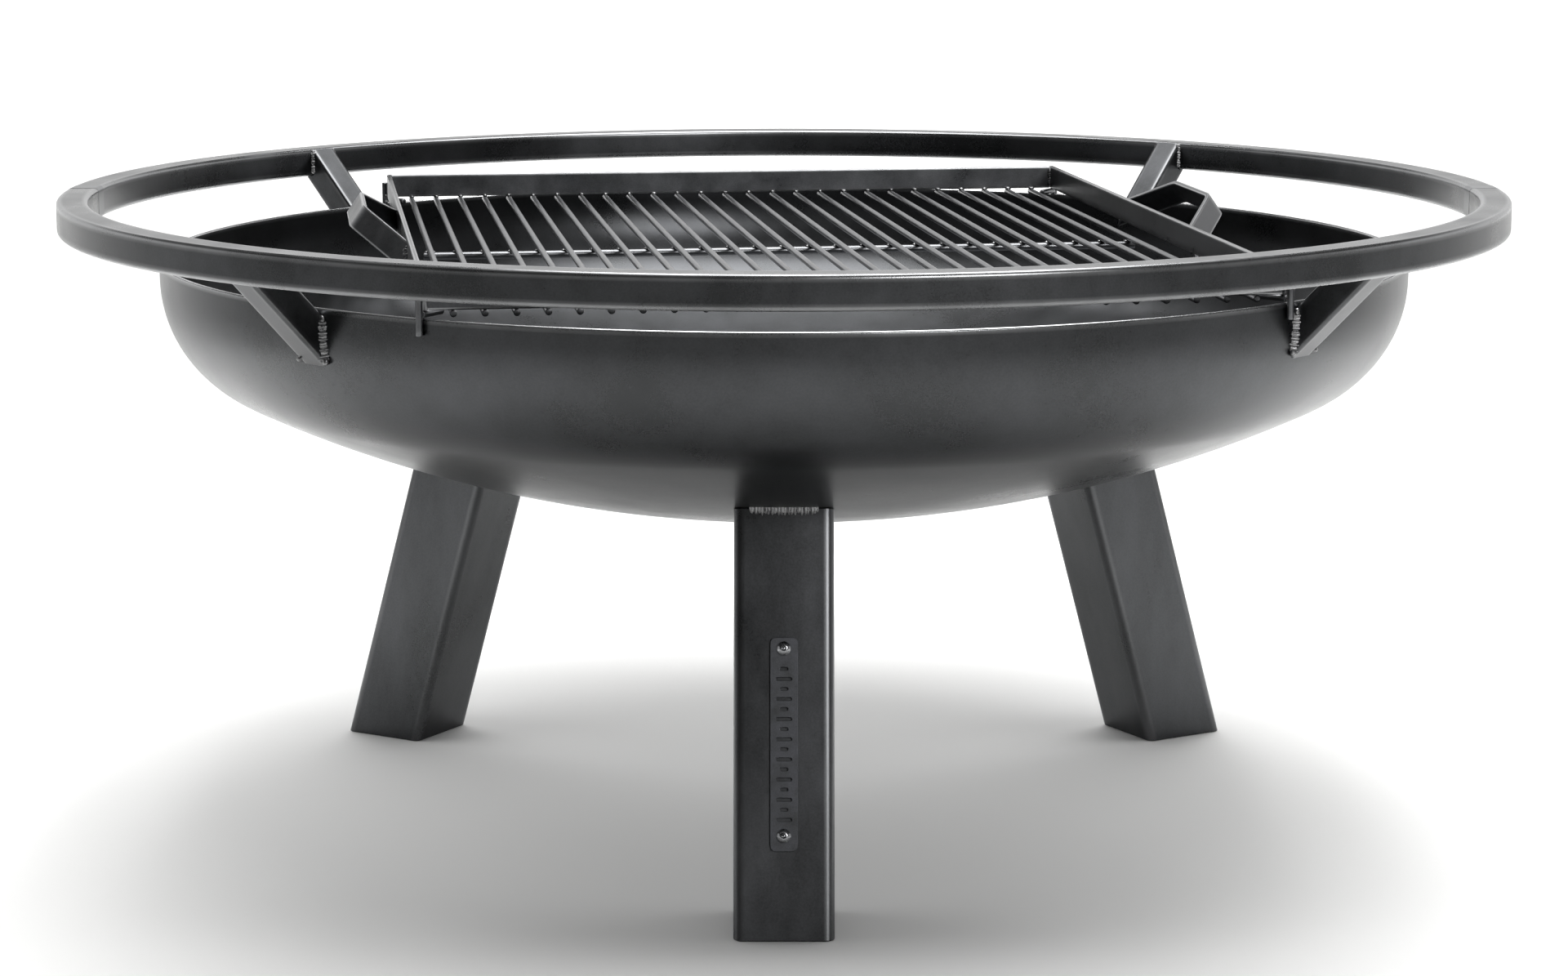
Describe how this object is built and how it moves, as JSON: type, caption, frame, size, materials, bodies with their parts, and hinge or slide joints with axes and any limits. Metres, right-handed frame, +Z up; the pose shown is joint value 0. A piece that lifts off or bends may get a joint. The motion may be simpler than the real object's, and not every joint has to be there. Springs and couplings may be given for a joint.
{
  "type": "fire pit with grate",
  "caption": "Round dished steel fire bowl on splayed square legs, with a carrying ring on brackets and a lift-off rod grate with bent strip handles.",
  "frame": {"origin": "on the floor, on the bowl's vertical axis, at the centre of the carrying ring's footprint", "axes": "+Z up; the front leg with the badge plate points along -Y, +X is to the right of a person who looks at the badge"},
  "size_m": [1.156, 1.156, 0.5],
  "materials": {
    "bowl_steel": "dished hot-rolled sheet, blue-black mill scale, oiled, soft sheen",
    "leg_steel": "hot-rolled square tube, dark mill scale, oiled satin",
    "ring_steel": "bent square tube, dark grey satin mill scale, ground at its butt welds",
    "bracket_steel": "square tube, dark grey mill scale, heat tint at the welds",
    "grate_strip_steel": "flat bar on edge, grey mill scale, satin",
    "grate_rod_steel": "drawn round rod, light grey satin",
    "badge_steel": "thin dark plate with plain cut-outs, satin",
    "rivet_steel": "bright dome heads, smooth"
  },
  "bodies": {
    "fire_pit": {"bowl": "bowl_steel", "ring_half_front": "ring_steel", "ring_half_rear": "ring_steel", "leg_front": "leg_steel", "leg_rear_right": "leg_steel", "leg_rear_left": "leg_steel", "badge_plate": "badge_steel", "badge_rivet_lower": "rivet_steel", "badge_rivet_upper": "rivet_steel", "ring_bracket_rear_right": "bracket_steel", "ring_bracket_rear_left": "bracket_steel", "ring_bracket_front_left": "bracket_steel", "ring_bracket_front_right": "bracket_steel"},
    "grate": {"grate_frame_left_rear": "grate_strip_steel", "grate_frame_right_front": "grate_strip_steel", "grate_bar_01": "grate_rod_steel", "grate_bar_02": "grate_rod_steel", "grate_bar_03": "grate_rod_steel", "grate_bar_04": "grate_rod_steel", "grate_bar_05": "grate_rod_steel", "grate_bar_06": "grate_rod_steel", "grate_bar_07": "grate_rod_steel", "grate_bar_08": "grate_rod_steel", "grate_bar_09": "grate_rod_steel", "grate_bar_10": "grate_rod_steel", "grate_bar_11": "grate_rod_steel", "grate_bar_12": "grate_rod_steel", "grate_bar_13": "grate_rod_steel", "grate_bar_14": "grate_rod_steel", "grate_bar_15": "grate_rod_steel", "grate_bar_16": "grate_rod_steel", "grate_bar_17": "grate_rod_steel", "grate_bar_18": "grate_rod_steel", "grate_bar_19": "grate_rod_steel", "grate_bar_20": "grate_rod_steel", "grate_bar_21": "grate_rod_steel", "grate_bar_22": "grate_rod_steel", "grate_bar_23": "grate_rod_steel", "grate_bar_24": "grate_rod_steel", "grate_bar_25": "grate_rod_steel", "grate_bar_26": "grate_rod_steel", "grate_bar_27": "grate_rod_steel", "grate_cross_rod": "grate_rod_steel", "grate_rest_rear_right": "grate_rod_steel", "grate_rest_rear_left": "grate_rod_steel", "grate_rest_front_left": "grate_rod_steel", "grate_rest_front_right": "grate_rod_steel", "grate_pin_rear_right": "grate_rod_steel", "grate_pin_rear_left": "grate_rod_steel", "grate_pin_front_left": "grate_rod_steel", "grate_pin_front_right": "grate_rod_steel", "grate_handle_right": "grate_strip_steel", "grate_handle_left": "grate_strip_steel"}
  },
  "joints": [
    {"name": "grate_lift", "type": "slide", "parent": "fire_pit", "child": "grate", "axis": [0, 0, 1], "range_m": [0, 0.3]}
  ]
}
